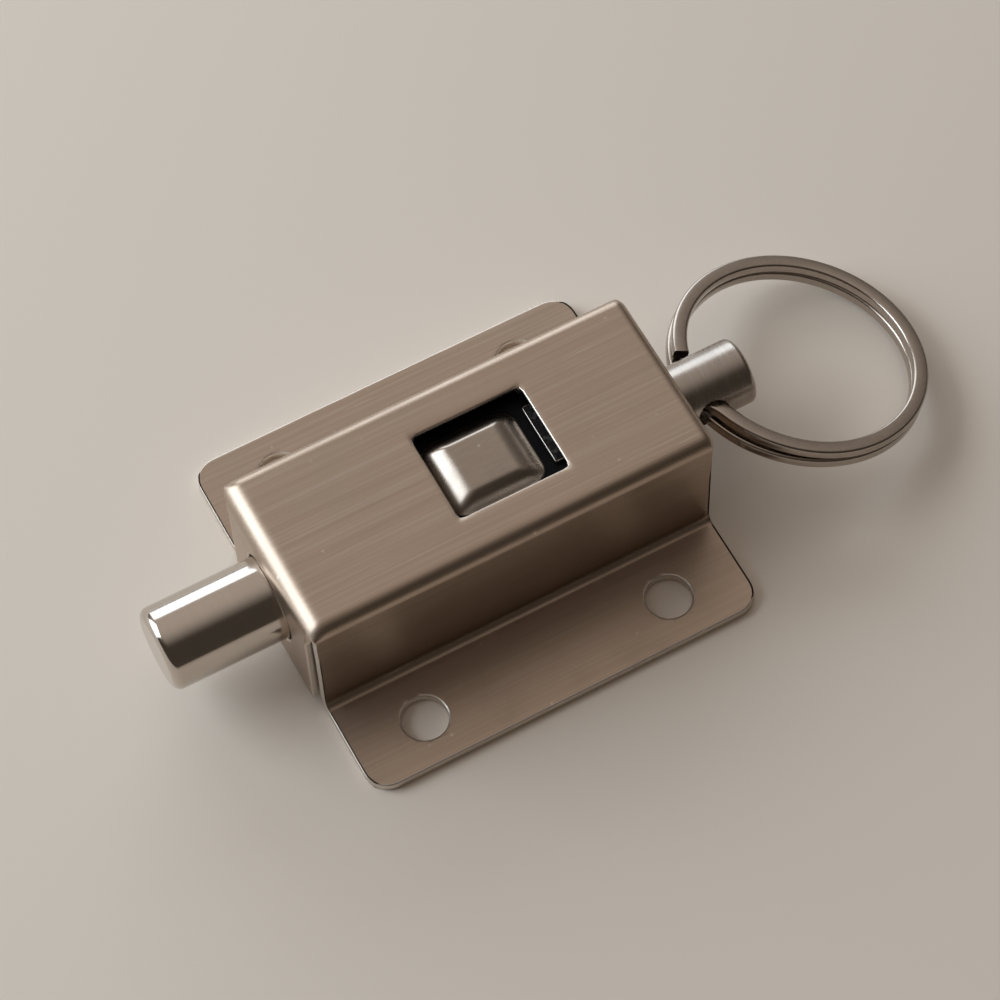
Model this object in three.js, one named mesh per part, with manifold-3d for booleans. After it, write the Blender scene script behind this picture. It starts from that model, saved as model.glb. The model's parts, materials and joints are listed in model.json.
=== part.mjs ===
// Spring bolt latch with a pull ring and a push catch.
//
// Millimetres, +Z up. The latch lies on its mounting face, z = 0. The bolt points along -X, the pull
// ring hangs at +X, and the bolt's centre line is y = 0. The latch is drawn thrown: the bolt is out,
// the catch rides on the bolt, and the ring lies back on the surface that the latch is laid on.

import * as THREE from "three";
import { mergeVertices } from "three/addons/utils/BufferGeometryUtils.js";
import Module from "manifold-3d";

const wasm = await Module();
wasm.setup();

// ---------------------------------------------------------------- driving dimensions

// Housing: one stamped sheet, with two screw flanges, a raised box and two folded end tabs.
const SHEET = 1.2;
const BOX_LENGTH = 51.0;          // over the outside of the end tabs
const BOX_WIDTH = 22.5;           // over the outside of the side walls
const FLANGE_WIDTH = 12.4;        // side wall to the flange's edge
const TAB_PROUD = 0.7;            // how far the end tabs stand beyond the side walls
const TAB_SLOT = 0.5;             // open corner between an end tab and a side wall
const LIP_DEPTH = 1.7;            // the end bend is full width this far down, and then narrows to the tab
const TAB_FOOT_GAP = 0.8;         // an end tab stops short of the mounting face
const TOP_BEND = 1.7;             // outside radius along the long top edges
const END_BEND = 2.5;             // outside radius over the front tab
const REAR_BEND = 1.5;            // outside radius over the rear tab
const FLANGE_BEND = 1.0;          // inside radius between wall and flange
const FLANGE_CORNER = 3;
const SCREW_HOLE = 5.4;
const SCREW_SPACING = 31.4;       // along X
const SCREW_FROM_EDGE = 5.7;      // hole centre to the flange's edge
const WINDOW_LENGTH = 13.7;
const WINDOW_WIDTH = 11.6;
const WINDOW_BACK = 2.7;          // window centre behind the middle of the box

// Bolt, rod and clip
const BOLT_DIAMETER = 10;
const BOLT_REACH = 14.0;          // how far the thrown bolt stands out of the front tab
const BOLT_TIP_ROUND = 1.1;
const ROD_REACH = 9.8;            // how far the rod stands out of the rear tab
const ROD_END_ROUND = 0.6;
const STROKE = 13;                // pull from thrown to held back
const SPIGOT_DIAMETER = 5;
const SPIGOT_LENGTH = 8;
const CLIP_SHEET = 0.8;
const CLIP_LIP = 1.6;             // how far the clip stands out of the bolt
const CLIP_MOUTH_SHARE = 0.7;     // mouth of the clip, as a share of the bolt's diameter
const GROOVE_DEPTH = 1.1;

// Spring round the rod
const SPRING_WIRE = 1.0;
const SPRING_TURNS = 10;
const SPRING_SIDES = 6;
const STEPS_PER_TURN = 16;

// Catch: a stamped plate with a raised pad and a gate round the bolt, on a welded leaf spring
const CATCH_SHEET = 0.7;
const GATE_SIDE = 2.1;            // metal left beside the bolt
const PRESS_TRAVEL = 0.6;         // how far the gate drops when the pad is pressed
const GATE_BEFORE_WINDOW = 0.2;   // gate's rear face, ahead of the window's front edge
const GATE_STRIP = 2.0;           // metal left below the bolt
const UNDER_GATE = 2.2;           // gate's foot above the mounting face
const PAD_LENGTH = 11.4;
const PAD_WIDTH = 9.4;
const PAD_RISE = 1.7;
const PAD_SHOULDER = 2.0;         // how far the pad's rounded sides lean in
const PAD_CORNER = 1.2;
const PAD_FROM_WINDOW = 0.45;     // pad's front edge behind the window's front edge
const LEAF_SHEET = 0.4;
const LEAF_WIDTH = 8;
const LEAF_SHOWS = 0.7;           // how much of the leaf is seen in the window
const LEAF_WELD = 5;              // length of leaf welded under the top
const LEAF_FLEX = 3.4;            // free length of leaf between plate and weld
const CATCH_OVERLAP = 4.0;        // length of leaf welded on the catch plate

// Split ring: flat wire in two turns, less the short length where it steps from turn to turn
const RING_RADIUS = 14.4;         // to the middle of the wire
const RING_WIRE = 1.8;            // wire width, across the ring
const RING_COIL = 1.3;            // wire thickness, along the ring's axis
const RING_COIL_GAP = 0.1;
const RING_STEP_DEG = 40;
const RING_STEPS = 112;
const RING_BACK = 3.9;            // cross hole behind the rear tab
const RING_FLOOR_GAP = 0.25;
const REST_TURN_DEG = -4;         // the bolt and ring have turned a little in the housing

// Clearances
const FIT = 0.3;                  // between touching pieces and round running pieces
const SMOOTH = 48;                // facets round a shaft or hole

// ---------------------------------------------------------------- derived sizes

const boxHalf = BOX_LENGTH / 2;
const wallHalf = boxHalf - TAB_PROUD;
const halfWidth = BOX_WIDTH / 2;
const edge = halfWidth + FLANGE_WIDTH;
const tabInner = boxHalf - SHEET;
const boltRadius = BOLT_DIAMETER / 2;
const rodRadius = boltRadius - SPRING_WIRE;      // the bolt's tail is the spring's seat
const gateRadius = boltRadius + FIT;
const axisHeight = gateRadius + GATE_STRIP + UNDER_GATE;
const plateUnder = axisHeight + gateRadius + PRESS_TRAVEL;
const plateTop = plateUnder + CATCH_SHEET;
const leafUnder = plateTop + FIT;
const topUnder = leafUnder + LEAF_SHEET + FIT;
const boxHeight = topUnder + SHEET;
const boltTip = -boxHalf - BOLT_REACH;
const rodEnd = boxHalf + ROD_REACH;
const crossHoleX = boxHalf + RING_BACK;
const windowFront = WINDOW_BACK - WINDOW_LENGTH / 2;
const windowRear = WINDOW_BACK + WINDOW_LENGTH / 2;
const coilStack = 2 * RING_COIL + RING_COIL_GAP;
const ringSag = RING_RADIUS - Math.sqrt(RING_RADIUS ** 2 - rodRadius ** 2);
const ringHole = Math.hypot(RING_WIRE + ringSag, coilStack) + 2 * FIT;

const clipFront = -tabInner + FIT;
const clipRear = clipFront + CLIP_SHEET;
const gateRear = windowFront - GATE_BEFORE_WINDOW;
const gateFront = gateRear - CATCH_SHEET;
const gateMiddle = (gateFront + gateRear) / 2;
const boltTail = gateRear + FIT + 2;
const leafFront = windowRear - LEAF_SHOWS;
const plateRear = leafFront + CATCH_OVERLAP;
const leafRear = plateRear + LEAF_FLEX + LEAF_WELD;
const padFront = windowFront + PAD_FROM_WINDOW;

// ---------------------------------------------------------------- solids

// A closed geometry as a manifold, for cutting and joining only.
function solid(geometry) {
  const bare = geometry.clone();
  bare.deleteAttribute("normal");
  bare.deleteAttribute("uv");
  const merged = mergeVertices(bare, 1e-4);
  return new wasm.Manifold(new wasm.Mesh({
    numProp: 3,
    vertProperties: new Float32Array(merged.attributes.position.array),
    triVerts: new Uint32Array(merged.index.array),
  }));
}

// A manifold back as a geometry.
function geometryOf(body) {
  const mesh = body.getMesh();
  const geometry = new THREE.BufferGeometry();
  geometry.setAttribute("position", new THREE.BufferAttribute(mesh.vertProperties, 3));
  geometry.setIndex(new THREE.BufferAttribute(mesh.triVerts, 1));
  geometry.computeVertexNormals();
  return geometry;
}

function box(x0, x1, y0, y1, z0, z1) {
  const geometry = new THREE.BoxGeometry(x1 - x0, y1 - y0, z1 - z0);
  geometry.translate((x0 + x1) / 2, (y0 + y1) / 2, (z0 + z1) / 2);
  return geometry;
}

// A shape drawn in (y, z), extruded along X from x0 to x1.
function extrudeAlongX(shape, x0, x1, curveSegments = 6) {
  const geometry = new THREE.ExtrudeGeometry(shape, { depth: x1 - x0, bevelEnabled: false, curveSegments });
  geometry.applyMatrix4(new THREE.Matrix4().makeBasis(
    new THREE.Vector3(0, 1, 0), new THREE.Vector3(0, 0, 1), new THREE.Vector3(1, 0, 0)));
  geometry.translate(x0, 0, 0);
  return geometry;
}

// A shape drawn in (x, z), extruded along Y from -halfDepth to halfDepth.
function extrudeAlongY(shape, halfDepth, curveSegments = 6) {
  const depth = 2 * halfDepth;
  const geometry = new THREE.ExtrudeGeometry(shape, { depth, bevelEnabled: false, curveSegments });
  geometry.rotateX(Math.PI / 2);
  geometry.translate(0, halfDepth, 0);
  return geometry;
}

// A shape drawn in (x, y), extruded up from z0 to z1.
function extrudeUp(shape, z0, z1, curveSegments = 6) {
  const geometry = new THREE.ExtrudeGeometry(shape, { depth: z1 - z0, bevelEnabled: false, curveSegments });
  geometry.translate(0, 0, z0);
  return geometry;
}

function roundedRectangle(x0, x1, y0, y1, radius) {
  const shape = new THREE.Shape();
  shape.moveTo(x0 + radius, y0);
  shape.lineTo(x1 - radius, y0);
  shape.absarc(x1 - radius, y0 + radius, radius, -Math.PI / 2, 0, false);
  shape.lineTo(x1, y1 - radius);
  shape.absarc(x1 - radius, y1 - radius, radius, 0, Math.PI / 2, false);
  shape.lineTo(x0 + radius, y1);
  shape.absarc(x0 + radius, y1 - radius, radius, Math.PI / 2, Math.PI, false);
  shape.lineTo(x0, y0 + radius);
  shape.absarc(x0 + radius, y0 + radius, radius, Math.PI, 1.5 * Math.PI, false);
  return shape;
}

// A turned piece on the bolt's centre line, from points of (x, radius).
function turned(points) {
  const profile = points.map(([x, radius]) => new THREE.Vector2(radius, x));
  const geometry = new THREE.LatheGeometry(profile, SMOOTH);
  geometry.rotateZ(-Math.PI / 2);
  geometry.translate(0, 0, axisHeight);
  return geometry;
}

// The points of a quarter round, from a shaft's end face to its side.
function endRound(xEnd, radius, round, intoPositiveX) {
  const steps = 4;
  const points = [];
  for (let i = 0; i <= steps; i += 1) {
    const angle = (i / steps) * Math.PI / 2;
    const inset = round * (1 - Math.cos(angle));
    points.push([xEnd + (intoPositiveX ? 1 : -1) * inset, radius - round + round * Math.sin(angle)]);
  }
  return points;
}

function cylinderAlongX(radius, x0, x1) {
  return turned([[x0, 0], [x0, radius], [x1, radius], [x1, 0]]);
}

// ---------------------------------------------------------------- housing

// The section across the latch: flange, wall, top, wall, flange.
function hatSection() {
  const topInner = TOP_BEND - SHEET;
  const flangeOuter = FLANGE_BEND + SHEET;
  const s = new THREE.Shape();
  const wallFoot = halfWidth + FLANGE_BEND;
  const bendHeight = SHEET + FLANGE_BEND;
  const corner = halfWidth - TOP_BEND;
  const top = boxHeight - TOP_BEND;
  s.moveTo(-edge, 0);
  s.lineTo(-wallFoot, 0);
  s.absarc(-wallFoot, bendHeight, flangeOuter, -Math.PI / 2, 0, false);
  s.lineTo(-halfWidth + SHEET, top);
  s.absarc(-corner, top, topInner, Math.PI, Math.PI / 2, true);
  s.lineTo(corner, topUnder);
  s.absarc(corner, top, topInner, Math.PI / 2, 0, true);
  s.lineTo(halfWidth - SHEET, bendHeight);
  s.absarc(wallFoot, bendHeight, flangeOuter, Math.PI, 1.5 * Math.PI, false);
  s.lineTo(edge, 0);
  s.lineTo(edge, SHEET);
  s.lineTo(wallFoot, SHEET);
  s.absarc(wallFoot, bendHeight, FLANGE_BEND, -Math.PI / 2, -Math.PI, true);
  s.lineTo(halfWidth, top);
  s.absarc(corner, top, TOP_BEND, 0, Math.PI / 2, false);
  s.lineTo(-corner, boxHeight);
  s.absarc(-corner, top, TOP_BEND, Math.PI / 2, Math.PI, false);
  s.lineTo(-halfWidth, bendHeight);
  s.absarc(-wallFoot, bendHeight, FLANGE_BEND, 0, -Math.PI / 2, true);
  s.lineTo(-edge, SHEET);
  return s;
}

// The section along the latch: one strip that makes the front tab, the top and the rear tab.
function tabSection() {
  const front = boxHalf - END_BEND;
  const frontTop = boxHeight - END_BEND;
  const rear = boxHalf - REAR_BEND;
  const rearTop = boxHeight - REAR_BEND;
  const s = new THREE.Shape();
  s.moveTo(-boxHalf, TAB_FOOT_GAP);
  s.lineTo(-tabInner, TAB_FOOT_GAP);
  s.lineTo(-tabInner, frontTop);
  s.absarc(-front, frontTop, END_BEND - SHEET, Math.PI, Math.PI / 2, true);
  s.lineTo(rear, topUnder);
  s.absarc(rear, rearTop, REAR_BEND - SHEET, Math.PI / 2, 0, true);
  s.lineTo(tabInner, TAB_FOOT_GAP);
  s.lineTo(boxHalf, TAB_FOOT_GAP);
  s.lineTo(boxHalf, rearTop);
  s.absarc(rear, rearTop, REAR_BEND, 0, Math.PI / 2, false);
  s.lineTo(-front, boxHeight);
  s.absarc(-front, frontTop, END_BEND, Math.PI / 2, Math.PI, false);
  return s;
}

// The latch's outline from the side, which trims the ends of the walls to the two bends.
function sideOutline() {
  const s = new THREE.Shape();
  s.moveTo(-boxHalf, -boxHeight);
  s.lineTo(boxHalf, -boxHeight);
  s.lineTo(boxHalf, boxHeight - REAR_BEND);
  s.absarc(boxHalf - REAR_BEND, boxHeight - REAR_BEND, REAR_BEND, 0, Math.PI / 2, false);
  s.lineTo(-boxHalf + END_BEND, boxHeight);
  s.absarc(-boxHalf + END_BEND, boxHeight - END_BEND, END_BEND, Math.PI / 2, Math.PI, false);
  return s;
}

function housing() {
  const outline = roundedRectangle(-wallHalf, wallHalf, -edge, edge, FLANGE_CORNER);
  const tabHalfWidth = halfWidth - SHEET - TAB_SLOT;
  let body = solid(extrudeAlongX(hatSection(), -wallHalf, wallHalf));
  body = body.intersect(solid(extrudeUp(outline, -1, boxHeight + 1)));
  body = body.intersect(solid(extrudeAlongY(sideOutline(), edge + 1)));
  body = body.add(solid(extrudeAlongY(tabSection(), tabHalfWidth)));
  const boxSection = roundedRectangle(-halfWidth, halfWidth, 0, boxHeight, TOP_BEND);
  const envelope = solid(extrudeAlongX(boxSection, -boxHalf, boxHalf));
  const lipFoot = boxHeight - LIP_DEPTH;
  const past = boxHalf + 1;
  const lipBlock = solid(box(-past, past, -halfWidth - 1, halfWidth + 1, lipFoot, boxHeight + 1));
  const fullWidth = solid(extrudeAlongY(tabSection(), halfWidth));
  body = body.add(fullWidth.intersect(envelope).intersect(lipBlock));

  const windowShape = roundedRectangle(windowFront, windowRear, -WINDOW_WIDTH / 2, WINDOW_WIDTH / 2, 0.3);
  body = body.subtract(solid(extrudeUp(windowShape, topUnder - 1, boxHeight + 1, 2)));
  body = body.subtract(solid(cylinderAlongX(boltRadius + FIT, -boxHalf - 1, -tabInner + 1)));
  body = body.subtract(solid(cylinderAlongX(rodRadius + FIT, tabInner - 1, boxHalf + 1)));
  for (const x of [-SCREW_SPACING / 2, SCREW_SPACING / 2]) {
    for (const y of [-edge + SCREW_FROM_EDGE, edge - SCREW_FROM_EDGE]) {
      const hole = new THREE.CylinderGeometry(SCREW_HOLE / 2, SCREW_HOLE / 2, 3 * SHEET, 32);
      hole.rotateX(Math.PI / 2);
      hole.translate(x, y, SHEET / 2);
      body = body.subtract(solid(hole));
    }
  }
  return geometryOf(body);
}

// ---------------------------------------------------------------- bolt, rod, clip and spring

// A ring-shaped groove round the bolt, from x0 to x1.
function grooveCut(x0, x1) {
  const bottom = boltRadius - GROOVE_DEPTH;
  const outside = boltRadius + 1;
  return solid(turned([[x0, bottom], [x0, outside], [x1, outside], [x1, bottom], [x0, bottom]]));
}

function bolt() {
  const tip = endRound(boltTip, boltRadius, BOLT_TIP_ROUND, true);
  let body = solid(turned([[boltTip, 0], ...tip, [boltTail, boltRadius], [boltTail, 0]]));
  body = body.subtract(grooveCut(clipFront - FIT, clipRear + FIT));
  body = body.subtract(grooveCut(gateFront - STROKE - FIT, gateRear - STROKE + FIT));
  const socket = cylinderAlongX(SPIGOT_DIAMETER / 2 + FIT, boltTail - SPIGOT_LENGTH - FIT, boltTail + 1);
  return geometryOf(body.subtract(solid(socket)));
}

function pullRod() {
  const shoulder = boltTail + FIT;
  const end = endRound(rodEnd, rodRadius, ROD_END_ROUND, false).reverse();
  const body = solid(turned([
    [boltTail - SPIGOT_LENGTH, 0], [boltTail - SPIGOT_LENGTH, SPIGOT_DIAMETER / 2],
    [shoulder, SPIGOT_DIAMETER / 2], [shoulder, rodRadius], ...end, [rodEnd, 0],
  ]));
  const hole = new THREE.CylinderGeometry(ringHole / 2, ringHole / 2, 4 * rodRadius, 32);
  hole.rotateX(THREE.MathUtils.degToRad(REST_TURN_DEG));
  hole.translate(crossHoleX, 0, axisHeight);
  return geometryOf(body.subtract(solid(hole)));
}

function stopClip() {
  const inner = boltRadius - GROOVE_DEPTH + FIT;
  const outer = boltRadius + CLIP_LIP;
  const mouthHalf = CLIP_MOUTH_SHARE * boltRadius;
  const ring = turned([
    [clipFront, inner], [clipFront, outer], [clipRear, outer], [clipRear, inner], [clipFront, inner],
  ]);
  const mouth = box(clipFront - 1, clipRear + 1, -mouthHalf, mouthHalf, axisHeight - outer - 1, axisHeight);
  return geometryOf(solid(ring).subtract(solid(mouth)));
}

// The spring's centre line: a closed turn at each end and open turns between.
class SpringPath extends THREE.Curve {
  constructor(x0, x1, radius) {
    super();
    this.x0 = x0;
    this.x1 = x1;
    this.radius = radius;
  }

  getPoint(t, target = new THREE.Vector3()) {
    const turn = t * SPRING_TURNS;
    const closed = 1.15 * SPRING_WIRE;
    const open = (this.x1 - this.x0 - 2 * closed) / (SPRING_TURNS - 2);
    const first = Math.min(turn, 1) * closed;
    const middle = Math.max(0, Math.min(turn, SPRING_TURNS - 1) - 1) * open;
    const last = Math.max(0, turn - (SPRING_TURNS - 1)) * closed;
    const angle = 2 * Math.PI * turn;
    return target.set(this.x0 + first + middle + last,
      this.radius * Math.cos(angle), axisHeight + this.radius * Math.sin(angle));
  }

  getPointAt(t, target) {
    return this.getPoint(t, target);
  }

  getTangentAt(t, target) {
    return this.getTangent(t, target);
  }
}

function boltSpring() {
  const section = new THREE.Shape();
  for (let i = 0; i < SPRING_SIDES; i += 1) {
    const angle = (i / SPRING_SIDES) * 2 * Math.PI;
    const x = SPRING_WIRE / 2 * Math.cos(angle);
    const y = SPRING_WIRE / 2 * Math.sin(angle);
    if (i === 0) section.moveTo(x, y);
    else section.lineTo(x, y);
  }
  const end = SPRING_WIRE / 2 + FIT;
  const path = new SpringPath(boltTail + end, tabInner - end, rodRadius + FIT + SPRING_WIRE / 2);
  return new THREE.ExtrudeGeometry(section, {
    steps: SPRING_TURNS * STEPS_PER_TURN, bevelEnabled: false, extrudePath: path,
  });
}

// ---------------------------------------------------------------- catch

// A rounded pad from the plate's underside up to z, smaller all round by inset.
function padSolid(inset, z) {
  const lean = PAD_SHOULDER;
  const shape = roundedRectangle(padFront + inset + lean, padFront + PAD_LENGTH - inset - lean,
    -PAD_WIDTH / 2 + inset + lean, PAD_WIDTH / 2 - inset - lean, PAD_CORNER);
  const rise = z - plateUnder;
  const geometry = new THREE.ExtrudeGeometry(shape, {
    depth: 0.4, curveSegments: 4,
    bevelEnabled: true, bevelThickness: rise, bevelSize: lean, bevelSegments: 5,
  });
  geometry.translate(0, 0, plateUnder - 0.4);
  return solid(geometry);
}

function catchButton() {
  const half = gateRadius + GATE_SIDE;
  const plate = roundedRectangle(gateFront, plateRear, -half, half, 0.3);
  let body = solid(extrudeUp(plate, plateUnder, plateTop, 2));
  const leg = roundedRectangle(-half, half, UNDER_GATE, plateTop, 0.5);
  body = body.add(solid(extrudeAlongX(leg, gateFront, gateRear, 3)));
  const above = box(gateFront - 1, plateRear + 1, -half - 1, half + 1, plateUnder, boxHeight + 2);
  body = body.add(padSolid(0, plateTop + PAD_RISE).intersect(solid(above)));
  body = body.subtract(padSolid(CATCH_SHEET, plateTop + PAD_RISE - CATCH_SHEET));
  body = body.subtract(solid(cylinderAlongX(gateRadius, gateFront - 1, gateRear + 1)));
  const slot = box(gateFront - 1, gateRear + 1, -gateRadius, gateRadius, axisHeight, plateUnder);
  body = body.subtract(solid(slot));
  return geometryOf(body);
}

function catchLeaf() {
  const shape = roundedRectangle(leafFront, leafRear, -LEAF_WIDTH / 2, LEAF_WIDTH / 2, 0.8);
  return extrudeUp(shape, leafUnder, leafUnder + LEAF_SHEET, 3);
}

// ---------------------------------------------------------------- split ring

// The wire's centre line. It starts past the rod, runs once round low, steps up through the rod's hole
// and runs round again on top. The ring's centre is the origin and the rod's hole is at -X.
class RingPath extends THREE.Curve {
  getPoint(t, target = new THREE.Vector3()) {
    const step = THREE.MathUtils.degToRad(RING_STEP_DEG);
    const wire = 4 * Math.PI - step;
    const run = t * wire;
    const turn = 2 * Math.PI;
    const lift = (RING_COIL + RING_COIL_GAP) * THREE.MathUtils.smoothstep(run, turn - step, turn);
    const angle = Math.PI + step / 2 + run;
    const low = (RING_COIL - coilStack) / 2;
    return target.set(RING_RADIUS * Math.cos(angle), RING_RADIUS * Math.sin(angle), low + lift);
  }

  getPointAt(t, target) {
    return this.getPoint(t, target);
  }

  getTangentAt(t, target) {
    return this.getTangent(t, target);
  }
}

function splitRing() {
  const section = roundedRectangle(-RING_COIL / 2, RING_COIL / 2, -RING_WIRE / 2, RING_WIRE / 2, 0.2);
  return new THREE.ExtrudeGeometry(section, {
    steps: RING_STEPS, bevelEnabled: false, extrudePath: new RingPath(), curveSegments: 1,
  });
}

// ---------------------------------------------------------------- assembly

const finishes = {
  brushed: new THREE.MeshStandardMaterial({ color: 0x9c8f86, roughness: 0.42, metalness: 1 }),
  polished: new THREE.MeshStandardMaterial({ color: 0xc9c5c0, roughness: 0.16, metalness: 1 }),
  satin: new THREE.MeshStandardMaterial({ color: 0xa8a29c, roughness: 0.34, metalness: 1 }),
  bright: new THREE.MeshStandardMaterial({ color: 0xd2cfca, roughness: 0.2, metalness: 1 }),
  spring: new THREE.MeshStandardMaterial({ color: 0x6f6a66, roughness: 0.38, metalness: 1 }),
};

function part(name, geometry, finish) {
  const mesh = new THREE.Mesh(geometry, finishes[finish]);
  mesh.name = name;
  return mesh;
}

const latch = new THREE.Group();
latch.add(part("housing", housing(), "brushed"));
latch.add(part("bolt", bolt(), "polished"));
latch.add(part("pull_rod", pullRod(), "satin"));
latch.add(part("stop_clip", stopClip(), "spring"));
latch.add(part("bolt_spring", boltSpring(), "spring"));
latch.add(part("catch_button", catchButton(), "satin"));
latch.add(part("catch_leaf", catchLeaf(), "spring"));

// The ring hangs in the rod's cross hole and droops until it nearly meets the mounting face's plane.
const drop = axisHeight - coilStack / 2 - RING_FLOOR_GAP;
const droop = Math.asin(drop / (2 * RING_RADIUS + RING_WIRE / 2));
const ring = part("split_ring", splitRing(), "bright");
ring.position.x = RING_RADIUS - ringSag / 2;
const ringSwing = new THREE.Group();
ringSwing.rotation.y = droop;
ringSwing.add(ring);
const boltTurn = new THREE.Group();
boltTurn.rotation.x = THREE.MathUtils.degToRad(REST_TURN_DEG);
boltTurn.position.set(crossHoleX, 0, axisHeight);
boltTurn.add(ringSwing);
latch.add(boltTurn);

// The origin is the middle of the whole latch, on the mounting face.
latch.updateMatrixWorld(true);
const middle = new THREE.Box3().setFromObject(latch, true).getCenter(new THREE.Vector3());
latch.position.set(-middle.x, -middle.y, 0);

export default latch;
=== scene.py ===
# %% [markdown]
# # A spring bolt latch in folded stainless steel
# This lesson builds the looks of a small door latch around its working model. The latch is a folded
# sheet housing, a polished bolt that slides through it, a satin pull rod with a split ring, and a catch
# with a domed pad that is seen through a window in the top. The working model, the frame, says where
# every piece is and how it moves. Here each piece is made again with the roundings, coils, grain and
# wear of the real metal, and rides on the same moving body.

# %% Load the frame
import json
import math

import bmesh
import bpy
import numpy as np
from mathutils import Matrix, Vector


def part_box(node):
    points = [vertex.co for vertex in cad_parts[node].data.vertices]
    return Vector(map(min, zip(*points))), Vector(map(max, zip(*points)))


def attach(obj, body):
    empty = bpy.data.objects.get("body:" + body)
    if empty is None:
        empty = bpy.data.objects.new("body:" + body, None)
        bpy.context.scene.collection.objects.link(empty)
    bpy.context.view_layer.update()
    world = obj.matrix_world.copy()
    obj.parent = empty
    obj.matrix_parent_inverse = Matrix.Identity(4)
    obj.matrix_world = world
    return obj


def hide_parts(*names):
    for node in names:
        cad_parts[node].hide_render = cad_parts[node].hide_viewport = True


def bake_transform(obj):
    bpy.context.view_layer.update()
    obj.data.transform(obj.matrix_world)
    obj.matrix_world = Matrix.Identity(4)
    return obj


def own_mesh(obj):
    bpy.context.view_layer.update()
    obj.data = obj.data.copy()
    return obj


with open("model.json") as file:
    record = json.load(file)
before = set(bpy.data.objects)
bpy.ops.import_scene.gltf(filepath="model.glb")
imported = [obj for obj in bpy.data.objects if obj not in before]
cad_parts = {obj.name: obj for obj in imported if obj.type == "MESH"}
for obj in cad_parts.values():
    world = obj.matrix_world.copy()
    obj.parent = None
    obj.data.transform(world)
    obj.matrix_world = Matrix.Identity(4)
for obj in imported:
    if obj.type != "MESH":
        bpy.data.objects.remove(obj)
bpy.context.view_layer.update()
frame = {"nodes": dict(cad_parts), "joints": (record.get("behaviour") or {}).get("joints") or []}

MM = 0.001
print("frame nodes:", sorted(frame["nodes"]))

# %% [markdown]
# ## The camera
# The viewer stands in front of the bolt and a little to its left, and looks down steeply. The latch is
# small and far away for its size, so the lens is long and the sides stay nearly parallel. The camera is
# turned a little about its own view, as a hand-held one is. Azimuth 0 looks along +Y.

# %% Place the camera
house_low, house_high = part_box("housing")
house_middle_x = (house_low.x + house_high.x) / 2
VIEW_AZIMUTH = math.radians(-25.93)
VIEW_ELEVATION = math.radians(61.29)
VIEW_ROLL = math.radians(-2.78)
VIEW_DISTANCE = 421.4 * MM
VIEW_TARGET = Vector((house_middle_x + 5.15 * MM, 3.03 * MM, 0))
SENSOR = 36.0
FOCAL_SHARE = 3.6342


def make_camera():
    """A camera that looks at the target, from a direction, with a roll."""
    back = Vector((math.sin(VIEW_AZIMUTH) * math.cos(VIEW_ELEVATION),
                   -math.cos(VIEW_AZIMUTH) * math.cos(VIEW_ELEVATION),
                   math.sin(VIEW_ELEVATION)))
    right = Vector((0, 0, 1)).cross(back).normalized()
    up = back.cross(right)
    turned_right = math.cos(VIEW_ROLL) * right + math.sin(VIEW_ROLL) * up
    turned_up = -math.sin(VIEW_ROLL) * right + math.cos(VIEW_ROLL) * up
    data = bpy.data.cameras.new("camera")
    data.sensor_width = SENSOR
    data.lens = SENSOR * FOCAL_SHARE
    data.clip_start = 0.01
    data.clip_end = 20
    camera = bpy.data.objects.new("camera", data)
    bpy.context.scene.collection.objects.link(camera)
    turn = Matrix((turned_right, turned_up, back)).transposed()
    camera.matrix_world = Matrix.Translation(VIEW_TARGET + back * VIEW_DISTANCE) @ turn.to_4x4()
    bpy.context.scene.camera = camera
    return camera


camera = make_camera()
# The plain view keeps polished steel's hard contrast, which a film-like view would flatten.
bpy.context.scene.view_settings.view_transform = "Standard"
print("camera at", [round(c, 4) for c in camera.matrix_world.translation])

# %% [markdown]
# ## Node trees written as sums
# A shader or a geometry tree is easier to read as a formula than as a row of nodes. `Wire` wraps one
# output socket, and adding or multiplying wires adds the Math nodes. `Tree.node` makes any other node:
# its settings first, then the values or wires of its sockets.

# %% Tree, which makes nodes
class Tree:
    """A node tree that is built by calling node()."""

    def __init__(self, tree):
        self.tree = tree

    def node(self, kind, settings=None, inputs=None, output=0):
        made = self.tree.nodes.new(kind)
        for key, value in (settings or {}).items():
            if key == "stops":
                self.set_stops(made.color_ramp, value)
            else:
                setattr(made, key, value)
        for key, value in (inputs or {}).items():
            if isinstance(value, Wire):
                self.tree.links.new(value.socket, made.inputs[key])
            else:
                made.inputs[key].default_value = value
        return Wire(self, made.outputs[output]) if made.outputs else made

    def set_stops(self, ramp, stops):
        while len(ramp.elements) < len(stops):
            ramp.elements.new(0.5)
        for element, (position, shade) in zip(ramp.elements, stops):
            element.position = position
            element.color = (shade, shade, shade, 1)


print("tree helper ready")

# %% Wire, which does sums
class Wire:
    """One output socket, with sums."""

    def __init__(self, tree, socket):
        self.tree = tree
        self.socket = socket

    def maths(self, operation, first, second=0.0):
        return self.tree.node("ShaderNodeMath", {"operation": operation}, {0: first, 1: second})

    def __add__(self, other):
        return self.maths("ADD", self, other)

    def __radd__(self, other):
        return self.maths("ADD", other, self)

    def __sub__(self, other):
        return self.maths("SUBTRACT", self, other)

    def __rsub__(self, other):
        return self.maths("SUBTRACT", other, self)

    def __mul__(self, other):
        return self.maths("MULTIPLY", self, other)

    def __rmul__(self, other):
        return self.maths("MULTIPLY", other, self)

    def __truediv__(self, other):
        return self.maths("DIVIDE", self, other)

    def smooth(self, low, high):
        """0 below low, 1 above high, and a smooth rise between."""
        return self.tree.node("ShaderNodeMapRange", {"interpolation_type": "SMOOTHSTEP"},
                              {"Value": self, "From Min": low, "From Max": high})

    def clamp(self, low, high):
        return self.tree.node("ShaderNodeClamp", None, {"Value": self, "Min": low, "Max": high})


print("wire helper ready")

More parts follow.
